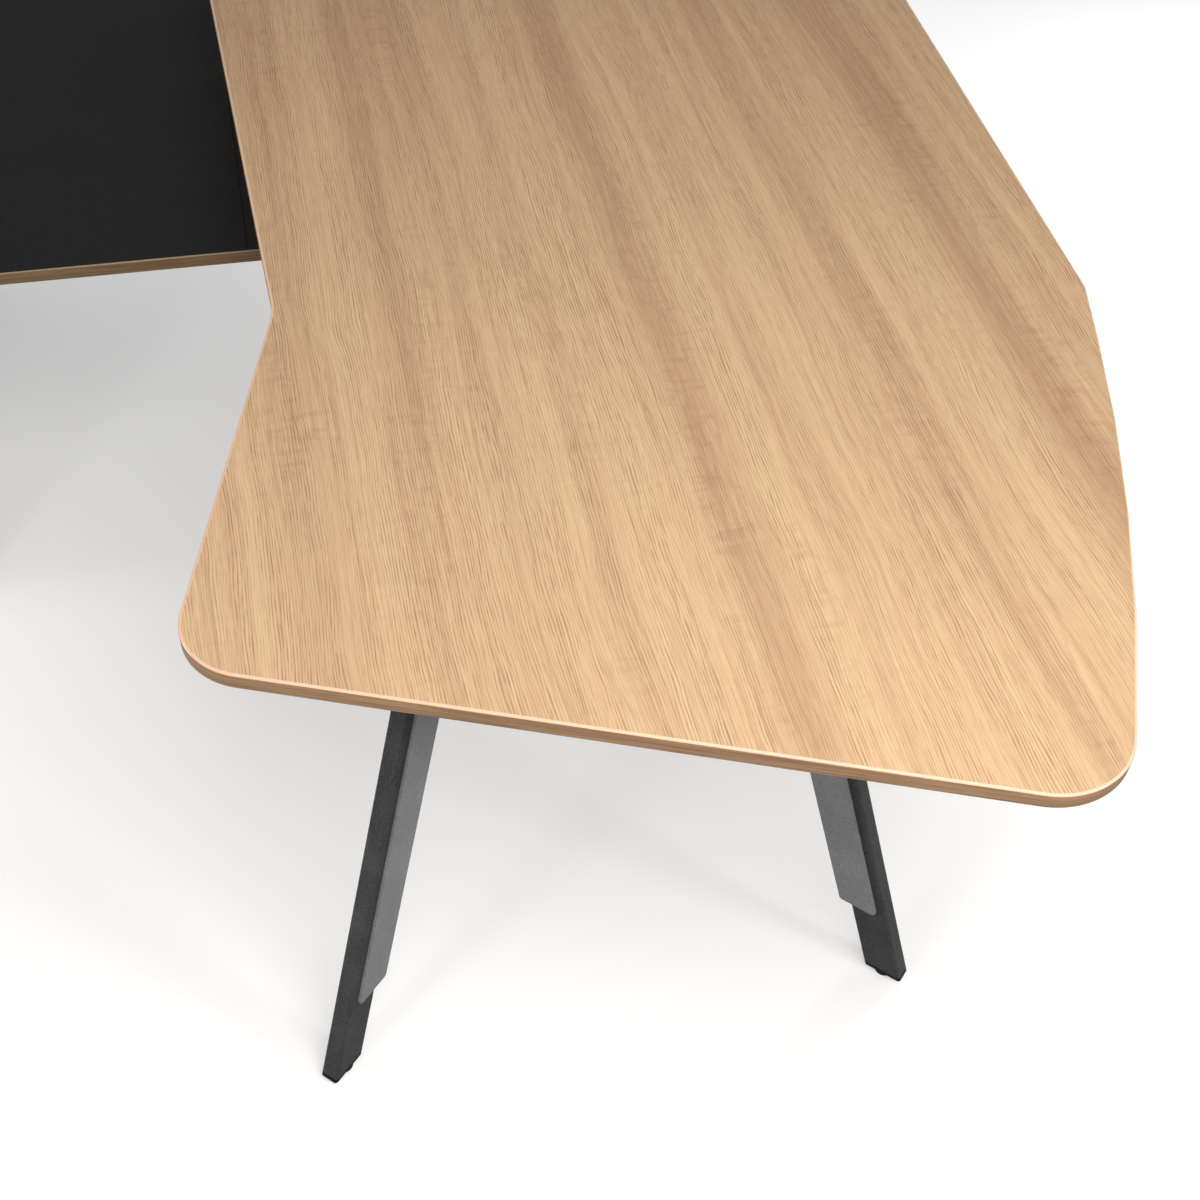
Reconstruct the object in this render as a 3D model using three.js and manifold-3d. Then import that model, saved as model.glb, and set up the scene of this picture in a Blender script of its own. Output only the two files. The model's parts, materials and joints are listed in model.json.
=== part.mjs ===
// Corner desk: a wide oak-faced main top on four splayed steel legs, with a lower black-topped
// return that tucks under the main top and ends on a pedestal with two drawers.
//
// Millimetres, +Z up. While it is drawn, x = 0 is midway between the near legs, y = 0 is the line
// of the near feet and +Y runs along the wood grain to the far end. The last lines move the whole
// desk so that its origin is the middle of its footprint, on the floor.

import * as THREE from 'three';
import { mergeVertices } from 'three/addons/utils/BufferGeometryUtils.js';
import Module from 'manifold-3d';

const wasm = await Module();
wasm.setup();

// ---------------------------------------------------------------- driving dimensions

const gap = 0.3; // clearance between pieces that rest on each other
const overshoot = 1; // how far a cutting tool or a joined piece runs past the face it meets
const coarseArc = 3; // segments in a rounded corner, and in the finer arcs below
const fineArc = 6;
const outlineArc = 10;
const roundSegments = 24; // sides of a turned piece

const deskHeight = 750;
const topThickness = 19;
const edgeBand = 3; // solid lipping round the main top

// Main top outline: corners of the plan before rounding, and the radius of each
const topFarY = 1827;
const wingFlare = 0.037; // both long edges open out by this much per unit of length
const notch = { x: -329, y: 587, r: 150 };
const knee = { x: 667, y: 472, r: 60 };
const nearLeft = { x: -477, y: 49, r: 78 };
const nearRight = { x: 382, y: -285, r: 90 };
const visitorBulge = { x: 561, y: 80, r: 3200 };
const farCornerRadius = 80;

// Legs: rectangular tube, leaning inwards along the diagonals
const footHalfGap = 366;
const farFootInset = 25;
const leanDegrees = 19.4;
const tubeLong = 50;
const tubeShort = 25;
const tubeWall = 2;
const tubeCorner = 4;
const railCorner = 3;
const capHeight = 6;
const capPlug = 20;
const plateThickness = 4;
const plateShift = 12.5;
const plateFootHeight = 125;
const plateCorner = 6;
const plateHeadCorner = 1;

// Levelling glides, the same under the legs and under the pedestal
const glideDisc = { r: 13, height: 6, chamfer: 1 };
const glideStem = { r: 4, length: 26 };
const stemClearance = 0.5;
const footHousingFlare = 6; // the pedestal's collars are this much wider at their tops

// Steel frame under the main top
const mountPlate = { length: 150, width: 110, thickness: 4, corner: 8 };
const screwHoleRadius = 3;
const screwInset = 14;
const railHeight = 40;
const railWidth = 25;
const railWall = 2;
const railToLeg = 6;
const weldOverlap = 0.5; // the rail's top runs this far into the plates it is welded to
const beamInset = 8;

// Return: lower slab, a quarter turn from the main top
const returnTopHeight = 600;
const returnThickness = 18;
const returnFrontY = 930;
const returnLeftX = -1250;
const returnTuck = 80; // how far its end reaches in under the main top, at its front edge
const inlayThickness = 3;
const inlayGroove = { x: -350, width: 2 };
const returnRail = { width: 40, height: 25, wall: 2 };
const returnRailY = [1100, 1480];
const hanger = { width: 60, thickness: 4, upperFlange: 66, lowerFlange: 80 };

// Pedestal
const pedestalWidth = 390;
const pedestalDepth = 800;
const pedestalFloorGap = 25;
const panel = 18;
const backPanel = 12;
const pedestalLeftInset = 8;
const frontInset = 8;
const frontThickness = 18;
const frontReveal = 3;
const frontSideReveal = 1;
const lowerFrontHeight = 346;
const footInset = 40;

// Drawers
const drawerWall = 12;
const drawerBase = 8;
const drawerLength = 560;
const drawerHeadroom = 48;
const drawerFloorRoom = 14;
const runnerRoom = 13;
const runnerHeight = 44;
const runnerWall = 1.6;
const runnerPlay = 0.5;
const runnerSetback = 2;
const handle = { length: 160, standoff: 28, bar: 8, height: 12, drop: 60 };

// ---------------------------------------------------------------- finishes

const finishes = {
  oak: { color: 0xd9b384, roughness: 0.45, metalness: 0 },
  oakEdge: { color: 0xc49e78, roughness: 0.4, metalness: 0 },
  blackInlay: { color: 0x222223, roughness: 0.6, metalness: 0 },
  board: { color: 0x35322f, roughness: 0.7, metalness: 0 },
  drawerBoard: { color: 0xb9b4ab, roughness: 0.6, metalness: 0 },
  legPaint: { color: 0x444344, roughness: 0.5, metalness: 0.3 },
  platePaint: { color: 0x7b7b7d, roughness: 0.45, metalness: 0.4 },
  framePaint: { color: 0x2f2f30, roughness: 0.55, metalness: 0.3 },
  blackPlastic: { color: 0x16171a, roughness: 0.5, metalness: 0 },
  zinc: { color: 0xa9abad, roughness: 0.35, metalness: 0.9 },
};

const desk = new THREE.Group();

function add(name, geometry, finish) {
  const mesh = new THREE.Mesh(geometry, new THREE.MeshStandardMaterial(finishes[finish]));
  mesh.name = name;
  desk.add(mesh);
}

// ---------------------------------------------------------------- solid helpers

function toSolid(geometry) {
  const bare = geometry.clone();
  bare.deleteAttribute('normal');
  bare.deleteAttribute('uv');
  const merged = mergeVertices(bare, 1e-3);
  return new wasm.Manifold(new wasm.Mesh({
    numProp: 3,
    vertProperties: new Float32Array(merged.attributes.position.array),
    triVerts: new Uint32Array(merged.index.array),
  }));
}

function toGeometry(solid) {
  const mesh = solid.getMesh();
  const geometry = new THREE.BufferGeometry();
  geometry.setAttribute('position', new THREE.BufferAttribute(mesh.vertProperties, 3));
  geometry.setIndex(new THREE.BufferAttribute(mesh.triVerts, 1));
  geometry.computeVertexNormals();
  return geometry;
}

function cut(geometry, tools) {
  return toGeometry(tools.reduce((solid, tool) => solid.subtract(toSolid(tool)), toSolid(geometry)));
}

function join(pieces) {
  const solids = pieces.map(toSolid);
  return toGeometry(solids.reduce((whole, solid) => whole.add(solid)));
}

// A box from its lowest corner to its highest one
function block(low, high) {
  const size = high.map((value, axis) => value - low[axis]);
  const middle = high.map((value, axis) => (value + low[axis]) / 2);
  return new THREE.BoxGeometry(...size).translate(...middle);
}

function extrudeUp(shape, bottom, top, segments = fineArc) {
  const options = { depth: top - bottom, bevelEnabled: false, curveSegments: segments };
  return new THREE.ExtrudeGeometry(shape, options).translate(0, 0, bottom);
}

// Extrudes a profile drawn in x and z along +Y
function extrudeAlongY(shape, start, end) {
  const options = { depth: end - start, bevelEnabled: false, curveSegments: fineArc };
  return new THREE.ExtrudeGeometry(shape, options).rotateX(Math.PI / 2).translate(0, end, 0);
}

// Extrudes a profile drawn in y and z along +X
function extrudeAlongX(shape, start, end) {
  const options = { depth: end - start, bevelEnabled: false, curveSegments: fineArc };
  const geometry = new THREE.ExtrudeGeometry(shape, options);
  return geometry.rotateX(Math.PI / 2).rotateZ(Math.PI / 2).translate(start, 0, 0);
}

// Turns a profile of radius and height about the vertical axis
function turned(profile) {
  const points = profile.map(([r, z]) => new THREE.Vector2(r, z));
  return new THREE.LatheGeometry(points, roundSegments).rotateX(Math.PI / 2);
}

// The corners moved inwards by an inset, anticlockwise, each with its own rounding radius
function insetCorners(corners, inset) {
  const count = corners.length;
  const moved = corners.map((corner, i) => {
    const next = corners[(i + 1) % count];
    const along = new THREE.Vector2(next.x - corner.x, next.y - corner.y).normalize();
    const start = new THREE.Vector2(corner.x - along.y * inset, corner.y + along.x * inset);
    return { start, along };
  });
  return corners.map((corner, i) => {
    const before = moved[(i + count - 1) % count];
    const after = moved[i];
    const turn = before.along.cross(after.along);
    const offset = after.start.clone().sub(before.start);
    const reach = offset.cross(after.along) / turn;
    const at = before.start.clone().addScaledVector(before.along, reach);
    return { x: at.x, y: at.y, r: corner.r - Math.sign(turn) * inset };
  });
}

// Draws the rounded outline into a shape or into a hole's path
function drawRounded(path, corners) {
  const count = corners.length;
  corners.forEach((corner, i) => {
    const at = new THREE.Vector2(corner.x, corner.y);
    const before = corners[(i + count - 1) % count];
    const after = corners[(i + 1) % count];
    const arriving = at.clone().sub(before).normalize();
    const leaving = new THREE.Vector2(after.x, after.y).sub(at).normalize();
    const turn = Math.atan2(arriving.cross(leaving), arriving.dot(leaving));
    const side = Math.sign(turn);
    const trim = corner.r * Math.tan(Math.abs(turn) / 2);
    const begin = at.clone().addScaledVector(arriving, -trim);
    const sideways = new THREE.Vector2(-arriving.y, arriving.x).multiplyScalar(side);
    const centre = begin.clone().addScaledVector(sideways, corner.r);
    const from = Math.atan2(begin.y - centre.y, begin.x - centre.x);
    path.absarc(centre.x, centre.y, corner.r, from, from + turn, side < 0);
  });
  path.closePath();
  return path;
}

function rounded(corners) {
  return drawRounded(new THREE.Shape(), corners);
}

// A rounded shape with the same outline, inset, left open inside it
function roundedTube(corners, wall) {
  const shape = rounded(corners);
  shape.holes.push(drawRounded(new THREE.Path(), insetCorners(corners, wall)));
  return shape;
}

function rectangle(x0, y0, x1, y1, r) {
  return [{ x: x0, y: y0, r }, { x: x1, y: y0, r }, { x: x1, y: y1, r }, { x: x0, y: y1, r }];
}

// ---------------------------------------------------------------- places that pieces share

const topUnder = deskHeight - topThickness;
const capTop = glideDisc.height + gap + capHeight;
const plateUnder = topUnder - gap - mountPlate.thickness;
const legTop = plateUnder - gap;
const farFootY = topFarY - farFootInset;
const lean = THREE.MathUtils.degToRad(leanDegrees);

// How far a leg's middle has moved along x and along y at a height, from its foot
function leanRun(height) {
  return (height - capTop) * Math.tan(lean) * Math.SQRT1_2;
}

const headHalfGap = footHalfGap - leanRun(legTop);
const nearHeadY = leanRun(legTop);
const farHeadY = farFootY - leanRun(legTop);
// Half of the room that a leg's slanted section takes along x or y
const legReach = (tubeLong / Math.cos(lean) + tubeShort) / 2 * Math.SQRT1_2;

// The long edges of the main top's far wing
function wingLeftX(y) {
  return notch.x - (y - notch.y) * wingFlare;
}

function wingRightX(y) {
  return knee.x + (y - knee.y) * wingFlare;
}

// The far legs stand centred under the far end, so the frame follows the top's bend
const farPairX = (wingLeftX(topFarY) + wingRightX(topFarY)) / 2;
const legPairs = [
  { name: 'near', x: 0, footY: 0, headY: nearHeadY, towards: 1 },
  { name: 'far', x: farPairX, footY: farFootY, headY: farHeadY, towards: -1 },
];

const returnUnder = returnTopHeight - returnThickness;
const returnBackY = topFarY;
const returnRightX = wingLeftX(returnFrontY) + returnTuck;

// ---------------------------------------------------------------- main top

function mainTopCorners() {
  return [
    nearLeft,
    nearRight,
    visitorBulge,
    knee,
    { x: wingRightX(topFarY), y: topFarY, r: farCornerRadius },
    { x: wingLeftX(topFarY), y: topFarY, r: farCornerRadius },
    notch,
  ];
}

function addMainTop() {
  const outline = mainTopCorners();
  const board = rounded(insetCorners(outline, edgeBand + gap));
  add('main_top_board', extrudeUp(board, topUnder, deskHeight, outlineArc), 'oak');
  const band = roundedTube(outline, edgeBand);
  add('main_top_edge_band', extrudeUp(band, topUnder, deskHeight, outlineArc), 'oakEdge');
}

// ---------------------------------------------------------------- legs

// Turns a piece drawn upright over the foot (long side along x, inwards = +x, height from
// the foot's cut) into a leaning one with level ends, and stands it on its foot.
function leanOver(geometry, leg) {
  const stretch = new THREE.Matrix4().makeScale(1 / Math.cos(lean), 1, 1);
  const shear = new THREE.Matrix4().makeShear(0, 0, 0, 0, Math.tan(lean), 0);
  geometry.translate(0, 0, -capTop).applyMatrix4(stretch).applyMatrix4(shear);
  return geometry.rotateZ(leg.inwards).translate(leg.x, leg.y, capTop);
}

// Plan of a piece centred on the leg's axis
function section(length, width, r) {
  return rectangle(-length / 2, -width / 2, length / 2, width / 2, r);
}

function glide(x, y) {
  const { r, height, chamfer } = glideDisc;
  const stemTop = height + glideStem.length;
  const profile = [
    [0, 0],
    [r - chamfer, 0],
    [r, chamfer],
    [r, height - chamfer],
    [r - chamfer, height],
    [glideStem.r, height],
    [glideStem.r, stemTop],
    [0, stemTop],
  ];
  return turned(profile).translate(x, y, 0);
}

function stemHole(x, y, bottom, top) {
  const r = glideStem.r + stemClearance;
  const length = top - bottom + 2 * overshoot;
  const hole = new THREE.CylinderGeometry(r, r, length, roundSegments);
  return hole.rotateX(Math.PI / 2).translate(x, y, (bottom + top) / 2);
}

function footCap(leg) {
  const outline = section(tubeLong, tubeShort, tubeCorner);
  const flange = extrudeUp(rounded(outline), glideDisc.height + gap, capTop - gap);
  const bore = insetCorners(outline, tubeWall + gap);
  const plug = extrudeUp(rounded(bore), capTop - gap - overshoot, capTop + capPlug);
  const solid = join([leanOver(flange, leg), leanOver(plug, leg)]);
  return cut(solid, [stemHole(leg.x, leg.y, glideDisc.height, capTop + capPlug)]);
}

// The flat plate on the broad face that looks to the other leg of the pair and outwards
function legPlate(leg) {
  const run = (legTop - plateFootHeight) * Math.tan(lean);
  const start = (plateFootHeight - capTop) * Math.tan(lean);
  const length = tubeLong / Math.cos(lean);
  const left = start - length / 2 + plateShift;
  const right = left + length;
  const face = rounded([
    { x: left, y: plateFootHeight, r: plateCorner },
    { x: right, y: plateFootHeight, r: plateCorner },
    { x: right + run, y: legTop, r: plateHeadCorner },
    { x: left + run, y: legTop, r: plateHeadCorner },
  ]);
  const inner = leg.plateSide * (tubeShort / 2 + gap);
  const outer = inner + leg.plateSide * plateThickness;
  const geometry = extrudeAlongY(face, Math.min(inner, outer), Math.max(inner, outer));
  return geometry.rotateZ(leg.inwards).translate(leg.x, leg.y, 0);
}

function addLeg(leg) {
  const tube = roundedTube(section(tubeLong, tubeShort, tubeCorner), tubeWall);
  const upright = extrudeUp(tube, capTop, legTop, coarseArc);
  add(`leg_tube_${leg.name}`, leanOver(upright, leg), 'legPaint');
  add(`leg_plate_${leg.name}`, legPlate(leg), 'platePaint');
  add(`foot_cap_${leg.name}`, footCap(leg), 'blackPlastic');
  add(`glide_${leg.name}`, glide(leg.x, leg.y), 'blackPlastic');
}

function addLegs() {
  for (const pair of legPairs) {
    for (const [side, sign] of [['left', -1], ['right', 1]]) {
      addLeg({
        name: `${pair.name}_${side}`,
        x: pair.x + sign * footHalfGap,
        y: pair.footY,
        inwards: Math.atan2(pair.towards, -sign),
        plateSide: sign * pair.towards,
      });
    }
  }
}

// ---------------------------------------------------------------- frame under the main top

function mountingPlate(x, y) {
  const halfLength = mountPlate.length / 2;
  const halfWidth = mountPlate.width / 2;
  const corners = section(2 * halfLength, 2 * halfWidth, mountPlate.corner);
  const shape = rounded(corners.map((corner) => ({ ...corner, x: corner.x + x, y: corner.y + y })));
  for (const sx of [-1, 1]) {
    for (const sy of [-1, 1]) {
      const hole = new THREE.Path();
      const holeX = x + sx * (halfLength - screwInset);
      const holeY = y + sy * (halfWidth - screwInset);
      hole.absarc(holeX, holeY, screwHoleRadius, 0, 2 * Math.PI, true);
      shape.holes.push(hole);
    }
  }
  return extrudeUp(shape, plateUnder, topUnder - gap);
}

// Rectangular tube drawn round a middle line, in y and z or in x and z
function tubeSection(middle, bottom, width, height, wall) {
  const left = middle - width / 2;
  return roundedTube(rectangle(left, bottom, left + width, bottom + height, railCorner), wall);
}

// The leg's plate sticks out past the tube, towards the rail
const plateReach = legReach + (plateShift + plateThickness + gap) * Math.SQRT1_2;
const railHalf = headHalfGap - plateReach - railToLeg;

// Cross rail with a mounting plate welded on over each leg
function headFrame(pair) {
  const bottom = plateUnder - railHeight;
  const profile = tubeSection(pair.headY, bottom, railWidth, railHeight + weldOverlap, railWall);
  const rail = extrudeAlongX(profile, pair.x - railHalf, pair.x + railHalf);
  const plates = [-headHalfGap, headHalfGap].map((x) => mountingPlate(pair.x + x, pair.headY));
  return join([rail, ...plates]);
}

// Runs from head frame to head frame, askew in plan, with its ends square to the head frames
function longBeam(x) {
  const profile = tubeSection(0, topUnder - gap - railHeight, railWidth, railHeight, railWall);
  const clear = mountPlate.width / 2 + gap;
  const span = farHeadY - nearHeadY;
  const beam = extrudeAlongY(profile, clear, span - clear);
  const skew = new THREE.Matrix4().makeShear(0, 0, farPairX / span, 0, 0, 0);
  return beam.applyMatrix4(skew).translate(x, nearHeadY, 0);
}

function addUnderFrame() {
  for (const pair of legPairs) {
    add(`head_frame_${pair.name}`, headFrame(pair), 'framePaint');
  }
  const beamX = railHalf - railWidth / 2 - beamInset;
  add('long_beam_left', longBeam(-beamX), 'framePaint');
  add('long_beam_right', longBeam(beamX), 'framePaint');
}

// ---------------------------------------------------------------- return

function addReturnSlab() {
  const boardTop = returnTopHeight - inlayThickness - gap;
  const rim = edgeBand + gap;
  const boardFront = returnFrontY + rim;
  const boardBack = returnBackY - rim;
  const boardLeft = returnLeftX + rim;
  const low = [boardLeft, boardFront, returnUnder];
  add('return_board', block(low, [returnRightX, boardBack, boardTop]), 'board');

  const grooveLeft = inlayGroove.x - inlayGroove.width / 2;
  const inlayBottom = returnTopHeight - inlayThickness;
  const inlays = [
    ['return_inlay', boardLeft, grooveLeft],
    ['return_end_inlay', grooveLeft + inlayGroove.width, returnRightX],
  ];
  for (const [name, left, right] of inlays) {
    const inlay = block([left, boardFront, inlayBottom], [right, boardBack, returnTopHeight]);
    add(name, inlay, 'blackInlay');
  }

  const strips = [
    ['return_edge_front', returnLeftX, returnFrontY, returnRightX, returnFrontY + edgeBand],
    ['return_edge_back', returnLeftX, returnBackY - edgeBand, returnRightX, returnBackY],
    ['return_edge_left', returnLeftX, boardFront, returnLeftX + edgeBand, boardBack],
  ];
  for (const [name, x0, y0, x1, y1] of strips) {
    add(name, block([x0, y0, returnUnder], [x1, y1, returnTopHeight]), 'oakEdge');
  }
}

const pedestalLeft = returnLeftX + pedestalLeftInset;
const pedestalRight = pedestalLeft + pedestalWidth;

// Stepped bracket: screwed up under the main top, down past the slab's end and under the slab
function returnHanger(y) {
  const upper = topUnder - gap;
  const lower = returnUnder - gap;
  const webLeft = returnRightX + gap;
  const webRight = webLeft + hanger.thickness;
  const profile = new THREE.Shape([
    new THREE.Vector2(webRight - hanger.lowerFlange, lower),
    new THREE.Vector2(webRight - hanger.lowerFlange, lower - hanger.thickness),
    new THREE.Vector2(webRight, lower - hanger.thickness),
    new THREE.Vector2(webRight, upper - hanger.thickness),
    new THREE.Vector2(webLeft + hanger.upperFlange, upper - hanger.thickness),
    new THREE.Vector2(webLeft + hanger.upperFlange, upper),
    new THREE.Vector2(webLeft, upper),
    new THREE.Vector2(webLeft, lower),
  ]);
  return extrudeAlongY(profile, y - hanger.width / 2, y + hanger.width / 2);
}

function addReturnSupports() {
  const railEnd = returnRightX + gap + hanger.thickness - hanger.lowerFlange - gap;
  const railBottom = returnUnder - gap - returnRail.height;
  returnRailY.forEach((y, i) => {
    const profile = tubeSection(y, railBottom, returnRail.width, returnRail.height, returnRail.wall);
    const rail = extrudeAlongX(profile, pedestalRight + gap, railEnd);
    add(`return_rail_${i + 1}`, rail, 'framePaint');
    add(`return_hanger_${i + 1}`, returnHanger(y), 'framePaint');
  });
}

// ---------------------------------------------------------------- pedestal

const carcassFront = returnFrontY + frontInset + frontThickness + gap;
const carcassBack = carcassFront + pedestalDepth;
const carcassTop = returnUnder - gap;
const innerLeft = pedestalLeft + panel;
const innerRight = pedestalRight - panel;

function addCarcass() {
  for (const [side, sideLeft] of [['left', pedestalLeft], ['right', innerRight]]) {
    const low = [sideLeft, carcassFront, pedestalFloorGap];
    add(`pedestal_side_${side}`, block(low, [sideLeft + panel, carcassBack, carcassTop]), 'board');
  }
  const left = innerLeft + gap;
  const right = innerRight - gap;
  const panelBack = carcassBack - backPanel - gap;
  const bottomTop = pedestalFloorGap + panel;
  const bottom = block([left, carcassFront, pedestalFloorGap], [right, panelBack, bottomTop]);
  const glides = pedestalGlides();
  const holes = glides.map(({ x, y }) => stemHole(x, y, pedestalFloorGap, bottomTop));
  add('pedestal_bottom', cut(bottom, holes), 'board');
  const top = block([left, carcassFront, carcassTop - panel], [right, panelBack, carcassTop]);
  add('pedestal_top', top, 'board');
  const backLow = [left, carcassBack - backPanel, pedestalFloorGap];
  add('pedestal_back', block(backLow, [right, carcassBack, carcassTop]), 'board');
  for (const { name, x, y } of glides) {
    add(name, glide(x, y), 'blackPlastic');
    add(name.replace('glide', 'foot'), footHousing(x, y), 'blackPlastic');
  }
}

function pedestalGlides() {
  const ends = [['front', carcassFront + footInset], ['back', carcassBack - footInset - backPanel]];
  const sides = [['left', innerLeft + footInset], ['right', innerRight - footInset]];
  return ends.flatMap(([end, y]) => sides.map(([side, x]) => (
    { name: `pedestal_glide_${end}_${side}`, x, y }
  )));
}

// Fixed plastic collar that holds a pedestal glide's stem below the bottom panel
function footHousing(x, y) {
  const bore = glideStem.r + stemClearance;
  const bottom = glideDisc.height + gap;
  const top = pedestalFloorGap - gap;
  const wide = glideDisc.r + footHousingFlare;
  const profile = [[bore, bottom], [glideDisc.r, bottom], [wide, top], [bore, top], [bore, bottom]];
  return turned(profile).translate(x, y, 0);
}

// ---------------------------------------------------------------- drawers

const openingBottom = pedestalFloorGap + panel;
const openingTop = carcassTop - panel;
const lowerFrontBottom = pedestalFloorGap + frontReveal;
const upperFrontBottom = lowerFrontBottom + lowerFrontHeight + frontReveal;

const drawers = [
  {
    name: 'lower',
    frontBottom: lowerFrontBottom,
    frontTop: upperFrontBottom - frontReveal,
    boxBottom: openingBottom + drawerFloorRoom,
    boxTop: upperFrontBottom - drawerHeadroom,
  },
  {
    name: 'upper',
    frontBottom: upperFrontBottom,
    frontTop: carcassTop - frontReveal,
    boxBottom: upperFrontBottom + drawerFloorRoom,
    boxTop: openingTop - drawerFloorRoom,
  },
];

function drawerBox(drawer) {
  const low = [innerLeft + runnerRoom, carcassFront + gap, drawer.boxBottom];
  const high = [innerRight - runnerRoom, carcassFront + drawerLength, drawer.boxTop];
  const hollowLow = [low[0] + drawerWall, low[1] + drawerWall, low[2] + drawerBase];
  const hollowHigh = [high[0] - drawerWall, high[1] - drawerWall, high[2] + overshoot];
  return cut(block(low, high), [block(hollowLow, hollowHigh)]);
}

// Bow handle: two posts and a bar, drawn in plan
function drawerHandle(drawer) {
  const middle = (pedestalLeft + pedestalRight) / 2;
  const face = carcassFront - gap - frontThickness - gap;
  const front = face - handle.standoff;
  const left = middle - handle.length / 2;
  const right = middle + handle.length / 2;
  const shape = new THREE.Shape([
    new THREE.Vector2(left, face),
    new THREE.Vector2(left, front),
    new THREE.Vector2(right, front),
    new THREE.Vector2(right, face),
    new THREE.Vector2(right - handle.bar, face),
    new THREE.Vector2(right - handle.bar, front + handle.bar),
    new THREE.Vector2(left + handle.bar, front + handle.bar),
    new THREE.Vector2(left + handle.bar, face),
  ]);
  const bottom = drawer.frontTop - handle.drop - handle.height;
  return extrudeUp(shape, bottom, bottom + handle.height);
}

// Channel profile in x and z: its back stands at backX, and its lips reach out from there
function channel(backX, towards, depth, bottom, height) {
  const back = backX + towards * runnerWall;
  const tip = backX + towards * depth;
  const top = bottom + height;
  const points = [
    [backX, bottom],
    [tip, bottom],
    [tip, bottom + runnerWall],
    [back, bottom + runnerWall],
    [back, top - runnerWall],
    [tip, top - runnerWall],
    [tip, top],
    [backX, top],
  ];
  return new THREE.Shape(points.map(([x, z]) => new THREE.Vector2(x, z)));
}

function addRunners(drawer) {
  const bottom = (drawer.boxBottom + drawer.boxTop - runnerHeight) / 2;
  const start = carcassFront + runnerSetback;
  const end = carcassFront + drawerLength;
  const lift = runnerWall + runnerPlay;
  const depth = runnerRoom - 2 * gap - runnerWall - runnerPlay;
  const sides = [['left', innerLeft, 1], ['right', innerRight, -1]];
  for (const [side, wallX, towards] of sides) {
    const fixed = channel(wallX + towards * gap, towards, depth, bottom, runnerHeight);
    add(`runner_rail_${drawer.name}_${side}`, extrudeAlongY(fixed, start, end), 'zinc');
    const boxX = wallX + towards * (runnerRoom - gap);
    const sliding = channel(boxX, -towards, depth, bottom + lift, runnerHeight - 2 * lift);
    add(`runner_slide_${drawer.name}_${side}`, extrudeAlongY(sliding, start, end), 'zinc');
  }
}

function addDrawers() {
  for (const drawer of drawers) {
    add(`drawer_box_${drawer.name}`, drawerBox(drawer), 'drawerBoard');
    const face = carcassFront - gap - frontThickness;
    const low = [pedestalLeft + frontSideReveal, face, drawer.frontBottom];
    const high = [pedestalRight - frontSideReveal, carcassFront - gap, drawer.frontTop];
    add(`drawer_front_${drawer.name}`, block(low, high), 'oak');
    add(`handle_${drawer.name}`, drawerHandle(drawer), 'legPaint');
    addRunners(drawer);
  }
}

// ---------------------------------------------------------------- the desk

addMainTop();
addLegs();
addUnderFrame();
addReturnSlab();
addReturnSupports();
addCarcass();
addDrawers();

const bounds = new THREE.Box3().setFromObject(desk);
const middle = bounds.getCenter(new THREE.Vector3());
desk.position.set(-middle.x, -middle.y, -bounds.min.z);

const group = new THREE.Group();
group.add(desk);

export default group;
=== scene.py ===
"""Corner desk: finished pieces, materials and a plain studio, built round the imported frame."""

import json
import math

import bmesh
import bpy
from mathutils import Matrix, Vector

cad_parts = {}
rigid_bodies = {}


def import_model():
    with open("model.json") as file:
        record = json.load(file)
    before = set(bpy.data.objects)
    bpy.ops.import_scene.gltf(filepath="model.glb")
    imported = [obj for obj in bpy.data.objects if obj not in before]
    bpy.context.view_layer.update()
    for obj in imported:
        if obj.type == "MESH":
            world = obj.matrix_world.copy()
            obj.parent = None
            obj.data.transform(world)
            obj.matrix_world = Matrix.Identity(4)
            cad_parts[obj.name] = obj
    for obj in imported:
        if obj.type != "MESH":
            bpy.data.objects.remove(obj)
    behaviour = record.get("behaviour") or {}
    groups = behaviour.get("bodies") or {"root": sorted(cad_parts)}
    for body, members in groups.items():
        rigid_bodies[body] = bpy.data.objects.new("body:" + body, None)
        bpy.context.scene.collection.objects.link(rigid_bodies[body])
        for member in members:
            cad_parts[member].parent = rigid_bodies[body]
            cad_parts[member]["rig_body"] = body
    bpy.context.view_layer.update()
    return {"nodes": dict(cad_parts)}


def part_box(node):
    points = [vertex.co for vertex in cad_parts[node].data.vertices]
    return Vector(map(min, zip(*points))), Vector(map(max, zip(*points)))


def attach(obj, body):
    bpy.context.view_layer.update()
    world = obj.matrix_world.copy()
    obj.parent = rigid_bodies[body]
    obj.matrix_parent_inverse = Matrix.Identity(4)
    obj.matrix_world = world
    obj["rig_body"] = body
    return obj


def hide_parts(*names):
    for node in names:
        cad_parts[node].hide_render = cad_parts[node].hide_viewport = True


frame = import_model()

bl_info = {
    "name": "Corner desk",
    "version": (1, 0, 0),
    "blender": (4, 5, 0),
    "location": "3D View > Sidebar > Corner desk",
    "description": "Builds a corner desk in light oak with a lower return, and its stage",
    "category": "Object",
}

# ---------------------------------------------------------------- measures, in metres

MM = 0.001
WELD = 1e-5  # points of a loose-triangle mesh nearer than this are one point
FLAT = math.radians(0.5)  # faces that meet flatter than this are one face
SMOOTH = math.radians(32)  # edges that turn less than this are shaded round
ARC_STEP = math.radians(3.5)
ARRIS_SEGMENTS = 5

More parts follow.
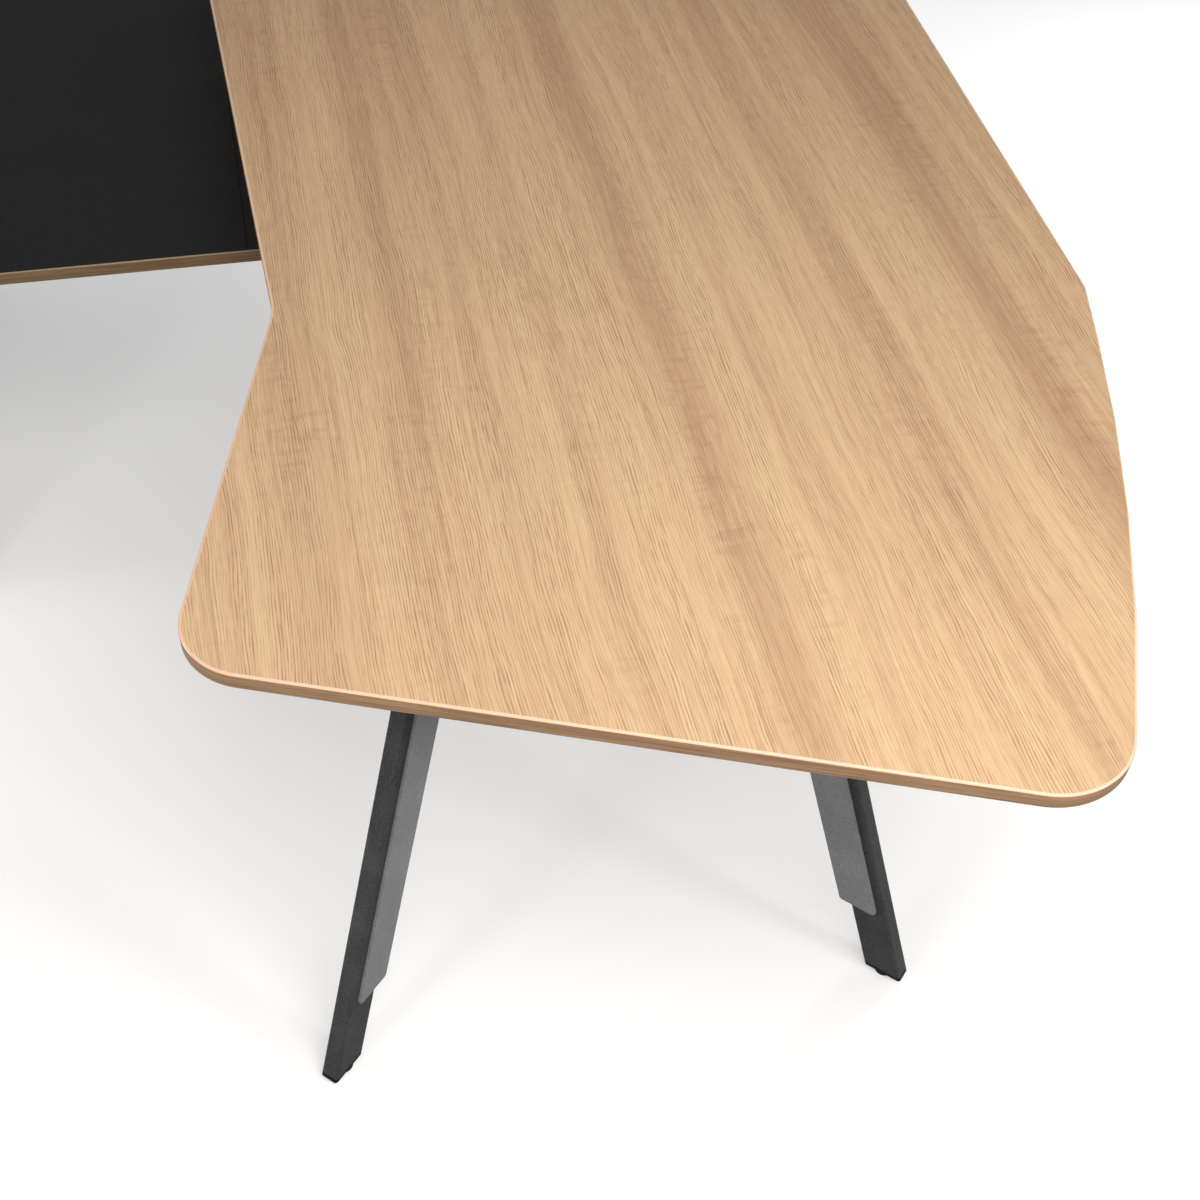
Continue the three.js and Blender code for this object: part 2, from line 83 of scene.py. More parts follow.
# Main top outline, drawn from the middle of the near feet: x, y and the corner's radius
FAR_END = 1.827
FAR_CORNER = 0.080
WING_FLARE = 0.037  # both long edges open out by this much per unit of length
KNEE = (0.667, 0.472, 0.060)
NOTCH = (-0.329, 0.587, 0.150)
TOP_CORNERS = (
    (-0.477, 0.049, 0.078),
    (0.382, -0.285, 0.090),
    (0.561, 0.080, 3.200),
    KNEE,
    (KNEE[0] + (FAR_END - KNEE[1]) * WING_FLARE, FAR_END, FAR_CORNER),
    (NOTCH[0] - (FAR_END - NOTCH[1]) * WING_FLARE, FAR_END, FAR_CORNER),
    NOTCH,
)
LIPPING = 3 * MM

LEAN = math.radians(19.4)
TUBE = (50 * MM, 25 * MM)
TUBE_WALL = 2 * MM
TUBE_CORNER = 4 * MM
BEAD = 3 * MM
CAP_EDGE = 0.5 * MM

PLATE_THICKNESS = 4 * MM
PLATE_LENGTH = 150 * MM
SCREW_INSET = 14 * MM
SCREW_SEGMENTS = 16
SCREW_HEIGHT = 0.55  # share of the head's radius
SCREW_RIM = 0.6  # share of the head's height that stands upright
SCREW_DOME = ((0.82, 0.28), (0.85, 0.12))  # each step's width and drop, as shares
RECESS_WIDTH = 0.85
RECESS_DEPTH = 0.7
CROSS_PATTERN = (1.0, 0.5, 0.3, 0.5)  # how far the recess reaches, round a quarter turn
HANGER_SCREW_APART = 36 * MM
HANGER_SCREW_IN = 30 * MM

GLIDE_STEPS = 48
DISC_HEIGHT = 6 * MM
DISC_SOLE = 2 * MM  # how far the disc's lower edge is rounded
DISC_TOP = 1.2 * MM
STEM_RADIUS = 4 * MM
STEM_SHOULDER = 2 * MM
STEM_TIP = 0.6 * MM
RIM_BAND = 0.4 * MM  # faces this near the disc's radius belong to its rim
RIB_BORDER = 0.3 * MM
RIB_DEPTH = 0.5 * MM
COLLAR_EDGE = 0.4 * MM

INLAY_EDGE = 0.4 * MM
HANGER_EDGE = 0.6 * MM
HANDLE_EDGE = 1.2 * MM
RUNNER_EDGE = 0.3 * MM

# Legs: the side each stands on, and the way it leans along Y
LEGS = {
    "near_left": (-1, 1),
    "near_right": (1, 1),
    "far_left": (-1, -1),
    "far_right": (1, -1),
}
PEDESTAL_FEET = ("front_left", "front_right", "back_left", "back_right")
DRAWERS = ("lower", "upper")
SIDES = ("left", "right")

# Broad stripes of the oak: place across the board, half width and strength
DARK_BANDS = (
    (0.382, 0.046, 0.52),
    (0.812, 0.058, 0.60),
    (-0.045, 0.060, 0.22),
    (0.165, 0.040, 0.18),
)
LIGHT_BANDS = (
    (0.290, 0.045, 0.50),
    (0.448, 0.026, 0.75),
    (0.735, 0.032, 0.60),
    (0.220, 0.030, 0.25),
)
RING_PITCH = 3.3 * MM

WHITE = (1, 1, 1)

# ---------------------------------------------------------------- shader trees


class Tree:
    """Lays nodes in a shader tree. Each input is another node's socket or a plain value."""

    def __init__(self, tree):
        self.tree = tree

    def put(self, socket, value):
        if isinstance(value, bpy.types.NodeSocket):
            self.tree.links.new(value, socket)
        else:
            socket.default_value = value

    def node(self, kind, inputs, **settings):
        made = self.tree.nodes.new(kind)
        for key, value in settings.items():
            setattr(made, key, value)
        for key, value in inputs.items():
            self.put(made.inputs[key], value)
        return made

    def math(self, operation, a, b=0.0):
        return self.node("ShaderNodeMath", {0: a, 1: b}, operation=operation).outputs[0]

    def stretched(self, place, x, y, z):
        scale = {0: place, 1: (x, y, z)}
        return self.node("ShaderNodeVectorMath", scale, operation="MULTIPLY").outputs[0]

    def noise(self, place, detail, roughness=0.5):
        inputs = {"Vector": place, "Scale": 1.0, "Detail": detail, "Roughness": roughness}
        return self.node("ShaderNodeTexNoise", inputs).outputs["Fac"]

    def between(self, value, low, high, start=0.0, end=1.0):
        inputs = {"Value": value, "From Min": low, "From Max": high, "To Min": start, "To Max": end}
        made = self.node("ShaderNodeMapRange", inputs, interpolation_type="SMOOTHSTEP")
        return made.outputs["Result"]

    def mix(self, share, a, b):
        inputs = {0: share, 6: a, 7: b}
        return self.node("ShaderNodeMix", inputs, data_type="RGBA").outputs[2]

    def group(self, name, inputs):
        made = self.node("ShaderNodeGroup", {}, node_tree=bpy.data.node_groups[name])
        for key, value in inputs.items():
            self.put(made.inputs[key], value)
        return made.outputs

    def bump(self, height, distance, strength):
        inputs = {"Height": height, "Distance": distance, "Strength": strength}
        return self.node("ShaderNodeBump", inputs).outputs["Normal"]


def new_group(name, inputs, outputs):
    """An empty shader group: its tree, the sockets it reads from and the sockets it fills."""
    group = bpy.data.node_groups.new(name, "ShaderNodeTree")
    for title, kind in inputs.items():
        group.interface.new_socket(title, in_out="INPUT", socket_type="NodeSocket" + kind)
    for title, kind in outputs.items():
        group.interface.new_socket(title, in_out="OUTPUT", socket_type="NodeSocket" + kind)
    source = group.nodes.new("NodeGroupInput").outputs
    sink = group.nodes.new("NodeGroupOutput").inputs
    return Tree(group), source, sink


def stripe(tree, across, centre, half_width, strength):
    """A soft stripe along the grain, strongest at its centre line."""
    off = tree.math("ABSOLUTE", tree.math("SUBTRACT", across, centre))
    return tree.between(off, half_width, 0.0, 0.0, strength)


def strongest(tree, shares):
    """The largest of several shares."""
    found = shares[0]
    for share in shares[1:]:
        found = tree.math("MAXIMUM", found, share)
    return found


def oak_figure_group():
    """Rift-cut oak along +Y: tone bands, rows of fine pores and faint flecks across the grain."""
    tones = {"Pale": "Color", "Rosy": "Color", "Brown": "Color", "Pore": "Color"}
    tree, source, sink = new_group(
        "Oak figure",
        {"Place": "Vector", **tones},
        {"Color": "Color", "Roughness": "Float", "Height": "Float"},
    )
    place = source["Place"]
    slow = tree.math("SUBTRACT", tree.noise(tree.stretched(place, 4.5, 1.7, 4.5), 1.0), 0.5)
    quick = tree.math("SUBTRACT", tree.noise(tree.stretched(place, 26, 7, 26), 2.0), 0.5)
    slow = tree.math("MULTIPLY", slow, 40 * MM)
    quick = tree.math("MULTIPLY", quick, 8 * MM)
    drift = tree.math("ADD", slow, quick)
    shift = tree.node("ShaderNodeCombineXYZ", {"X": drift}).outputs[0]
    bent = tree.node("ShaderNodeVectorMath", {0: place, 1: shift}, operation="ADD").outputs[0]
    across = tree.node("ShaderNodeSeparateXYZ", {"Vector": bent}).outputs["X"]

    # broad tones: soft stripes at their places across the board, and random ones between them
    dark = strongest(tree, [stripe(tree, across, *values) for values in DARK_BANDS])
    light = strongest(tree, [stripe(tree, across, *values) for values in LIGHT_BANDS])
    bands = tree.noise(tree.stretched(bent, 17, 0.5, 17), 3.0, 0.6)
    stripes = tree.noise(tree.stretched(bent, 75, 1.1, 75), 2.0, 0.6)
    lines = tree.noise(tree.stretched(bent, 430, 3.6, 430), 2.0, 0.55)
    mottle = tree.noise(tree.stretched(place, 150, 60, 150), 3.0, 0.65)
    ground = tree.mix(tree.between(stripes, 0.30, 0.72, 0.15, 0.8), source["Pale"], source["Rosy"])
    ground = tree.mix(tree.between(bands, 0.48, 0.74, 0.0, 0.45), ground, source["Brown"])
    ground = tree.mix(dark, ground, source["Brown"])
    ground = tree.mix(light, ground, source["Pale"])
    ground = tree.mix(tree.between(lines, 0.50, 0.74, 0.0, 0.42), ground, source["Brown"])
    ground = tree.mix(tree.between(lines, 0.48, 0.28, 0.0, 0.38), ground, source["Pale"])
    ground = tree.mix(tree.between(mottle, 0.48, 0.76, 0.0, 0.30), ground, source["Rosy"])

    # flecks: short bars across the grain, in patches beside the dark bands
    flecks = tree.noise(tree.stretched(bent, 34, 95, 34), 1.5)
    patches = tree.noise(tree.stretched(place, 13, 3.4, 13), 2.0)
    by_dark = tree.between(dark, 0.0, 0.25, 0.25, 1.0)
    by_band = tree.between(bands, 0.5, 0.6, 0.0, 0.4)
    beside = tree.math("ADD", by_dark, by_band)
    fleck_mask = tree.math("MULTIPLY", beside, tree.between(patches, 0.44, 0.60))
    fleck_share = tree.math("MULTIPLY", tree.between(flecks, 0.46, 0.70, 0.0, 0.34), fleck_mask)
    ground = tree.mix(fleck_share, ground, source["Brown"])

    # pores: rows a growth ring apart, each broken into short open vessels
    wobble = tree.math("SUBTRACT", tree.noise(tree.stretched(place, 70, 9, 70), 1.0), 0.5)
    ring = tree.math("ADD", across, tree.math("MULTIPLY", wobble, 6 * MM))
    wave = tree.math("SINE", tree.math("MULTIPLY", ring, math.tau / RING_PITCH))
    broken = tree.noise(tree.stretched(bent, 520, 30, 520), 2.0, 0.6)
    crowded = tree.noise(tree.stretched(bent, 55, 2.2, 55), 2.0)
    vessels = tree.between(broken, 0.38, 0.62, 0.3, 1.0)
    rows = tree.math("MULTIPLY", tree.between(wave, -0.1, 0.9), vessels)
    pores = tree.math("MULTIPLY", rows, tree.between(crowded, 0.34, 0.64, 0.25, 1.0))
    fibres = tree.noise(tree.stretched(bent, 1050, 26, 1050), 1.0)
    ground = tree.mix(tree.between(fibres, 0.50, 0.78, 0.0, 0.48), ground, source["Brown"])
    ground = tree.mix(tree.between(fibres, 0.48, 0.22, 0.0, 0.38), ground, source["Pale"])
    tree.put(sink["Color"], tree.mix(tree.math("MULTIPLY", pores, 0.62), ground, source["Pore"]))
    tree.put(sink["Roughness"], tree.between(stripes, 0.2, 0.8, 0.50, 0.60))
    tree.put(sink["Height"], tree.math("SUBTRACT", tree.math("MULTIPLY", fibres, 0.3), pores))


def edge_streaks_group():
    """Lipping: long streaks that follow the edge, at every height of it."""
    tree, source, sink = new_group(
        "Edge streaks",
        {"Place": "Vector", "Ground": "Color", "Streak": "Color"},
        {"Color": "Color", "Height": "Float"},
    )
    place = source["Place"]
    wander = tree.noise(tree.stretched(place, 7, 7, 60), 2.0)
    streaks = tree.noise(tree.stretched(place, 9, 9, 620), 3.0, 0.6)
    pores = tree.noise(tree.stretched(place, 60, 60, 1500), 1.0)
    ground, streak = source["Ground"], source["Streak"]
    ground = tree.mix(tree.between(streaks, 0.42, 0.66, 0.0, 0.8), ground, streak)
    ground = tree.mix(tree.between(wander, 0.40, 0.70, 0.0, 0.35), ground, streak)
    ground = tree.mix(tree.between(pores, 0.60, 0.72, 0.0, 0.5), ground, streak)
    tree.put(sink["Color"], ground)
    tree.put(sink["Height"], tree.math("SUBTRACT", streaks, tree.between(pores, 0.60, 0.72)))


def powder_coat_group():
    """Fine textured paint: an even orange peel with light and dark specks in it."""
    tree, source, sink = new_group(
        "Powder coat",
        {"Place": "Vector", "Paint": "Color", "Speck": "Color", "Roughness": "Float"},
        {"Color": "Color", "Roughness": "Float", "Height": "Float"},
    )
    place = source["Place"]
    peel = tree.noise(tree.stretched(place, 700, 700, 700), 2.0)
    grit = tree.noise(tree.stretched(place, 1200, 1200, 1200), 1.0)
    cloud = tree.noise(tree.stretched(place, 14, 14, 14), 3.0)
    specks = tree.between(grit, 0.46, 0.70)
    tone = tree.math("ADD", specks, tree.between(cloud, 0.40, 0.75, 0.0, 0.22))
    tree.put(sink["Color"], tree.mix(tone, source["Paint"], source["Speck"]))
    spread = tree.between(cloud, 0.3, 0.7, -0.05, 0.06)
    tree.put(sink["Roughness"], tree.math("ADD", source["Roughness"], spread))
    tree.put(sink["Height"], tree.math("ADD", peel, tree.math("MULTIPLY", grit, 0.4)))


def edge_wear_group():
    """How worn a place is: 0 on open faces, up to 1 where an edge is rubbed, in broken patches."""
    tree, source, sink = new_group(
        "Edge wear", {"Place": "Vector", "Reach": "Float"}, {"Mask": "Float"}
    )
    rounded = tree.node("ShaderNodeBevel", {"Radius": source["Reach"]}, samples=4).outputs[0]
    true = tree.node("ShaderNodeNewGeometry", {}).outputs["Normal"]
    likeness = tree.node("ShaderNodeVectorMath", {0: rounded, 1: true}, operation="DOT_PRODUCT")
    turned = tree.between(tree.math("SUBTRACT", 1.0, likeness.outputs["Value"]), 0.01, 0.16)
    patches = tree.noise(tree.stretched(source["Place"], 90, 90, 90), 3.0, 0.6)
    tree.put(sink["Mask"], tree.math("MULTIPLY", turned, tree.between(patches, 0.36, 0.62)))


def handling_group():
    """Where hands and cloths have left a surface a little glossier or duller."""
    tree, source, sink = new_group("Handling marks", {"Place": "Vector"}, {"Mask": "Float"})
    place = source["Place"]
    smears = tree.noise(tree.stretched(place, 6, 9, 9), 4.0, 0.6)
    wipes = tree.noise(tree.stretched(place, 60, 9, 40), 2.0)
    broad = tree.between(smears, 0.42, 0.68)
    tree.put(sink["Mask"], tree.math("MULTIPLY", broad, tree.between(wipes, 0.25, 0.75, 0.5, 1.0)))


def linen_group():
    """Two sets of crossing threads, uneven along their length, for linen-pressed laminate."""
    tree, source, sink = new_group(
        "Linen weave",
        {"Place": "Vector", "Ground": "Color", "Thread": "Color"},
        {"Color": "Color", "Height": "Float"},
    )
    place = source["Place"]
    warp = tree.noise(tree.stretched(place, 760, 90, 90), 1.5)
    weft = tree.noise(tree.stretched(place, 90, 760, 90), 1.5)
    cloud = tree.noise(tree.stretched(place, 5, 5, 5), 3.0)
    cloth = tree.math("MAXIMUM", tree.between(warp, 0.42, 0.68), tree.between(weft, 0.42, 0.68))
    share = tree.math("MULTIPLY", cloth, tree.between(cloud, 0.25, 0.75, 0.6, 1.0))
    tree.put(sink["Color"], tree.mix(share, source["Ground"], source["Thread"]))
    tree.put(sink["Height"], cloth)


def build_groups():
    oak_figure_group()
    edge_streaks_group()
    powder_coat_group()
    edge_wear_group()
    handling_group()
    linen_group()


# ---------------------------------------------------------------- materials


def new_material(name):
    """A material with its tree, its shader and the place on the piece in metres."""
    material = bpy.data.materials.new(f"desk_{name}")
    material.use_nodes = True
    tree = Tree(material.node_tree)
    shader = material.node_tree.nodes["Principled BSDF"]
    place = tree.node("ShaderNodeTexCoord", {}).outputs["Object"]
    return tree, shader.inputs, place


def colour(value):
    """A colour setting as an opaque colour for a socket."""
    return (*value, 1.0)


def oak_face(name, turn, finishes):
    """Satin oak face. The turn brings the piece's grain direction onto +Y."""
    tree, shader, place = new_material(name)
    place = tree.node("ShaderNodeMapping", {"Vector": place, "Rotation": turn}).outputs[0]
    tones = {
        "Pale": colour(finishes.oak_pale),
        "Rosy": colour(finishes.oak_rosy),
        "Brown": colour(finishes.oak_brown),
        "Pore": colour(finishes.oak_pore),
    }
    wood = tree.group("Oak figure", {"Place": place, **tones})
    marks = tree.group("Handling marks", {"Place": place})["Mask"]
    tree.put(shader["Base Color"], wood["Color"])
    gloss = tree.math("MULTIPLY", marks, -0.04)
    tree.put(shader["Roughness"], tree.math("ADD", wood["Roughness"], gloss))
    tree.put(shader["Normal"], tree.bump(wood["Height"], 0.25 * MM, 0.5))
    tree.put(shader["Specular IOR Level"], 0.3)


def oak_lipping(name, ground, streak, arris):
    """Solid oak edge, streaked along its length. Its upward faces carry a painted highlight, and
    its rubbed arrises are paler.
    """
    tree, shader, place = new_material(name)
    inputs = {"Place": place, "Ground": colour(ground), "Streak": colour(streak)}
    wood = tree.group("Edge streaks", inputs)
    wear = tree.group("Edge wear", {"Place": place, "Reach": 1.5 * MM})["Mask"]
    # Painted highlight: the more a face turns upwards, the more it takes the arris colour; worn
    # edges take it too (real wear).
    normal = tree.node("ShaderNodeNewGeometry", {}).outputs["Normal"]
    upwards = tree.node("ShaderNodeSeparateXYZ", {"Vector": normal}).outputs["Z"]
    pale = tree.math("MAXIMUM", tree.between(upwards, 0.12, 0.5, 0.0, 0.85), wear)
    worn = tree.mix(pale, wood["Color"], colour(arris))
    tree.put(shader["Base Color"], worn)
    tree.put(shader["Roughness"], tree.between(wear, 0.0, 1.0, 0.36, 0.30))
    tree.put(shader["Normal"], tree.bump(wood["Height"], 0.2 * MM, 0.4))
    tree.put(shader["Specular IOR Level"], 0.55)


def painted_steel(name, paint, speck, roughness, bare):
    """Powder-coated steel, rubbed a little lighter along its edges."""
    tree, shader, place = new_material(name)
    inputs = {
        "Place": place,
        "Paint": colour(paint),
        "Speck": colour(speck),
        "Roughness": roughness,
    }
    coat = tree.group("Powder coat", inputs)
    wear = tree.group("Edge wear", {"Place": place, "Reach": 1.2 * MM})["Mask"]
    rubbed = tree.mix(tree.math("MULTIPLY", wear, 0.35), coat["Color"], colour(bare))
    tree.put(shader["Base Color"], rubbed)
    polish = tree.math("MULTIPLY", wear, -0.12)
    tree.put(shader["Roughness"], tree.math("ADD", coat["Roughness"], polish))
    tree.put(shader["Normal"], tree.bump(coat["Height"], 0.12 * MM, 0.6))
    tree.put(shader["Specular IOR Level"], 0.3)


def linen_laminate(name, ground, thread, roughness):
    """Laminate pressed with a linen weave, a little glossier where it is handled."""
    tree, shader, place = new_material(name)
    inputs = {"Place": place, "Ground": colour(ground), "Thread": colour(thread)}
    cloth = tree.group("Linen weave", inputs)
    marks = tree.group("Handling marks", {"Place": place})["Mask"]
    tree.put(shader["Base Color"], cloth["Color"])
    tree.put(shader["Roughness"], tree.between(marks, 0.0, 1.0, roughness, roughness - 0.03))
    tree.put(shader["Normal"], tree.bump(cloth["Height"], 0.15 * MM, 0.5))
    tree.put(shader["Specular IOR Level"], 0.3)


def melamine(name, ground, fleck):
    """Plain-coloured board with a fine pearl texture and chipped-light edges."""
    tree, shader, place = new_material(name)
    pearl = tree.noise(tree.stretched(place, 700, 700, 700), 2.0)
    cloud = tree.noise(tree.stretched(place, 8, 8, 3), 3.0)
    bright = tree.between(pearl, 0.5, 0.8, 0.0, 0.5)
    share = tree.math("ADD", bright, tree.between(cloud, 0.4, 0.8, 0.0, 0.1))
    wear = tree.group("Edge wear", {"Place": place, "Reach": 1.5 * MM})["Mask"]
    base = tree.mix(share, colour(ground), colour(fleck))
    worn = tree.mix(tree.math("MULTIPLY", wear, 0.3), base, colour(fleck))
    tree.put(shader["Base Color"], worn)
    tree.put(shader["Roughness"], tree.between(cloud, 0.3, 0.7, 0.55, 0.60))
    tree.put(shader["Normal"], tree.bump(pearl, 0.12 * MM, 0.5))
    tree.put(shader["Specular IOR Level"], 0.4)


def moulded_plastic(name, ground, scuff):
    """Black nylon: a fine sparked grain that is scuffed grey where it rubs the floor."""
    tree, shader, place = new_material(name)
    cells = {"Vector": tree.stretched(place, 1400, 1400, 1400), "Scale": 1.0}
    grain = tree.node("ShaderNodeTexVoronoi", cells, feature="SMOOTH_F1").outputs["Distance"]
    rubs = tree.noise(tree.stretched(place, 160, 160, 400), 3.0, 0.6)
    wear = tree.group("Edge wear", {"Place": place, "Reach": 1.0 * MM})["Mask"]
    scuffed = tree.math("MULTIPLY", tree.math("ADD", wear, tree.between(rubs, 0.55, 0.75)), 0.15)
    tree.put(shader["Base Color"], tree.mix(scuffed, colour(ground), colour(scuff)))
    tree.put(shader["Roughness"], tree.between(rubs, 0.3, 0.7, 0.42, 0.56))
    tree.put(shader["Normal"], tree.bump(grain, 0.1 * MM, 0.5))
    tree.put(shader["Specular IOR Level"], 0.25)


def zinc_plate(name, bright, dull):
    """Zinc-plated steel with the faint spangle of its crystals."""
    tree, shader, place = new_material(name)
    cells = {"Vector": tree.stretched(place, 260, 260, 260), "Scale": 1.0}
    spangle = tree.node("ShaderNodeTexVoronoi", cells, feature="F1").outputs["Color"]
    tone = tree.node("ShaderNodeSeparateColor", {"Color": spangle}).outputs["Red"]
    haze = tree.noise(tree.stretched(place, 40, 12, 40), 3.0)
    share = tree.math("MULTIPLY", tree.math("ADD", tone, haze), 0.5)
    tree.put(shader["Base Color"], tree.mix(share, colour(bright), colour(dull)))
    tree.put(shader["Roughness"], tree.between(share, 0.2, 0.8, 0.26, 0.44))
    tree.put(shader["Normal"], tree.bump(haze, 0.1 * MM, 0.3))
    tree.put(shader["Metallic"], 1.0)


# Turns that bring a piece's grain onto the oak's own +Y
ALONG_Y = (0.0, 0.0, 0.0)
UPRIGHT = (math.radians(-90), 0.0, 0.0)


def build_materials(finishes):
    oak_face("oak", ALONG_Y, finishes)
    oak_face("oak_front", UPRIGHT, finishes)
    ground, streak = finishes.lipping_ground, finishes.lipping_streak
    oak_lipping("oak_edge", ground, streak, finishes.lipping_highlight_and_wear)
    # Painted shade: the return's lippings use the main lipping's oak made darker. Their arris
    # colour is also a painted highlight on their upward faces.
    ground, streak = finishes.return_shaded_ground, finishes.return_shaded_streak
    oak_lipping("return_edge", ground, streak, finishes.return_arris)
    linen_laminate("black_inlay", finishes.inlay, finishes.inlay_thread, 0.62)
    linen_laminate("drawer_board", finishes.drawer_board, finishes.drawer_thread, 0.66)
    melamine("dark_board", finishes.dark_board, finishes.dark_fleck)
    painted_steel("leg_paint", finishes.leg_paint, finishes.leg_speck, 0.46, finishes.rubbed)
    painted_steel("plate_paint", finishes.plate_paint, finishes.plate_speck, 0.42, finishes.rubbed)
    painted_steel("frame_paint", finishes.frame_paint, finishes.leg_speck, 0.5, finishes.rubbed)
    moulded_plastic("black_plastic", finishes.plastic, finishes.scuff)
    zinc_plate("zinc", finishes.zinc_bright, finishes.zinc_dull)


# ---------------------------------------------------------------- mesh helpers


def settings():
    return bpy.context.scene.corner_desk


def cad_copy(node):
    """The node's shape, with its loose triangles joined and its flat faces made whole."""
    bm = bmesh.new()
    bm.from_mesh(frame["nodes"][node].data)
    bmesh.ops.remove_doubles(bm, verts=bm.verts, dist=WELD)
    bmesh.ops.dissolve_limit(bm, angle_limit=FLAT, verts=bm.verts, edges=bm.edges)
    return bm


def corners_in(parts):
    """The vertices among the parts that an operator gives back."""
    return [part for part in parts if isinstance(part, bmesh.types.BMVert)]


def bevel_edges(bm, edges, width, segments):
    bmesh.ops.bevel(
        bm,
        geom=edges,
        offset=width,
        offset_type="OFFSET",
        segments=segments,
        profile=0.5,
        affect="EDGES",
        material=-1,
        clamp_overlap=True,
    )


def sharp_edges(bm, angle=SMOOTH):
    found = (edge for edge in bm.edges if len(edge.link_faces) == 2)
    return [edge for edge in found if edge.calc_face_angle(0.0) > angle]


def level_edges(bm, height):
    """The sharp edges that lie at a height."""
    return [e for e in sharp_edges(bm) if all(abs(v.co.z - height) < WELD for v in e.verts)]


def make_piece(bm, name, slot, replaced, body="desk", material=None):
    """Writes the mesh as a piece that rides on a body and replaces its CAD nodes."""
    mesh = bpy.data.meshes.new(name)
    bm.to_mesh(mesh)
    bm.free()
    mesh.shade_smooth()
    mesh.set_sharp_from_angle(angle=SMOOTH)
    mesh.materials.append(bpy.data.materials[f"desk_{material or slot}"])
    piece = bpy.data.objects.new(name, mesh)
    bpy.context.scene.collection.objects.link(piece)
    normals = piece.modifiers.new("Even shading", "WEIGHTED_NORMAL")
    normals.keep_sharp = True
    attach(piece, body)
    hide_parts(*replaced)
    return piece


def body_of(node):
    return frame["nodes"][node]["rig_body"]


def eased(node, slot, width, segments=2, material=None):
    """The CAD node with its sharp edges softened, as a finished piece."""
    bm = cad_copy(node)
    bevel_edges(bm, sharp_edges(bm), width, segments)
    return make_piece(bm, f"{node}_finished", slot, [node], body_of(node), material)


def middle(node):
    low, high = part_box(node)
    return (low + high) / 2


def turning(corner, before, after, radius):
    """Where the arc round a corner begins, its centre and how far it turns."""
    arriving = (corner - before).normalized()
    leaving = (after - corner).normalized()
    turn = math.atan2(arriving.cross(leaving), arriving.dot(leaving))
    side = math.copysign(1.0, turn)
    begin = corner - arriving * radius * math.tan(abs(turn) / 2)
    centre = begin + Vector((-arriving.y, arriving.x)) * side * radius
    return begin, centre, turn


def rounded_face(bm, corners, height):
    """A face whose outline is spun round each corner's own centre."""
    chains = []
    for i, (x, y, radius) in enumerate(corners):
        before = Vector(corners[i - 1][:2])
        after = Vector(corners[(i + 1) % len(corners)][:2])
        begin, centre, turn = turning(Vector((x, y)), before, after, radius)
        start = bmesh.ops.create_vert(bm, co=(*begin, height))["vert"][0]
        spun = bmesh.ops.spin(
            bm,
            geom=[start],
            cent=(*centre, height),
            axis=(0, 0, 1),
            angle=turn,
            steps=max(4, math.ceil(abs(turn) / ARC_STEP)),
        )
        chains.append((start, corners_in(spun["geom_last"])[0]))
    for i, (start, _) in enumerate(chains):
        bm.edges.new((chains[i - 1][1], start))
    return bmesh.ops.contextual_create(bm, geom=bm.edges[:])["faces"][0]


def raise_faces(bm, faces, height):
    """Makes flat faces into a solid of that height and returns its upper corners."""
    lifted = bmesh.ops.extrude_face_region(bm, geom=faces, use_keep_orig=True)["geom"]
    upper = corners_in(lifted)
    bmesh.ops.translate(bm, verts=upper, vec=(0, 0, height))
    bmesh.ops.recalc_face_normals(bm, faces=bm.faces)
    return upper


# ---------------------------------------------------------------- main top


def top_outline():
    """The main top's corners, moved to where the near feet stand."""
    origin = (middle("glide_near_left") + middle("glide_near_right")) / 2
    return [(x + origin.x, y + origin.y, r) for x, y, r in TOP_CORNERS]


def plan_place(vert):
    """A corner's place in plan, rounded so that two corners one above the other agree."""
    return round(vert.co.x, 6), round(vert.co.y, 6)


def split_outline(bm, face, width):
    """Insets a face and returns the faces of the ring that this leaves round it."""
    return bmesh.ops.inset_region(
        bm, faces=[face], thickness=width, use_boundary=True, use_even_offset=True
    )["faces"]


def build_top():
    low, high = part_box("main_top_edge_band")
    shapes = settings().shapes

    bm = bmesh.new()
    whole = rounded_face(bm, top_outline(), low.z)
    rim = {plan_place(vert) for vert in bm.verts}
    ring = split_outline(bm, whole, LIPPING)
    bmesh.ops.delete(bm, geom=[whole], context="FACES_ONLY")
    raise_faces(bm, ring, high.z - low.z)
    for height, width, segments in (
        (high.z, shapes.top_arris, ARRIS_SEGMENTS),
        (low.z, shapes.under_arris, 3),
    ):
        level = level_edges(bm, height)
        outer = [edge for edge in level if all(plan_place(v) in rim for v in edge.verts)]
        bevel_edges(bm, outer, width, segments)
    make_piece(bm, "main_top_lipping", "oak_edge", ["main_top_edge_band"])

    bm = bmesh.new()
    whole = rounded_face(bm, top_outline(), low.z)
    ring = split_outline(bm, whole, LIPPING)
    bmesh.ops.delete(bm, geom=ring, context="FACES")
    raise_faces(bm, bm.faces[:], high.z - low.z)
    make_piece(bm, "main_top_face", "oak", ["main_top_board"])


# ---------------------------------------------------------------- legs


def leg_matrix(leg):
    """Leans an upright piece over its foot, as the tube leans."""
    side, along = LEGS[leg]
    foot = middle(f"glide_{leg}")
    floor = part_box(f"leg_tube_{leg}")[0].z
    stretch = Matrix.Diagonal((1 / math.cos(LEAN), 1, 1, 1))
    shear = Matrix.Identity(4)
    shear[0][2] = math.tan(LEAN)
    turn = Matrix.Rotation(math.atan2(along, -side), 4, "Z")
    return Matrix.Translation((foot.x, foot.y, floor)) @ turn @ shear @ stretch


def section_face(bm, length, width, height):
    """The tube's rounded section, centred on the leg's own line."""
    corners = [
        (-length / 2, -width / 2, TUBE_CORNER),
        (length / 2, -width / 2, TUBE_CORNER),
        (length / 2, width / 2, TUBE_CORNER),
        (-length / 2, width / 2, TUBE_CORNER),
    ]
    return rounded_face(bm, corners, height)


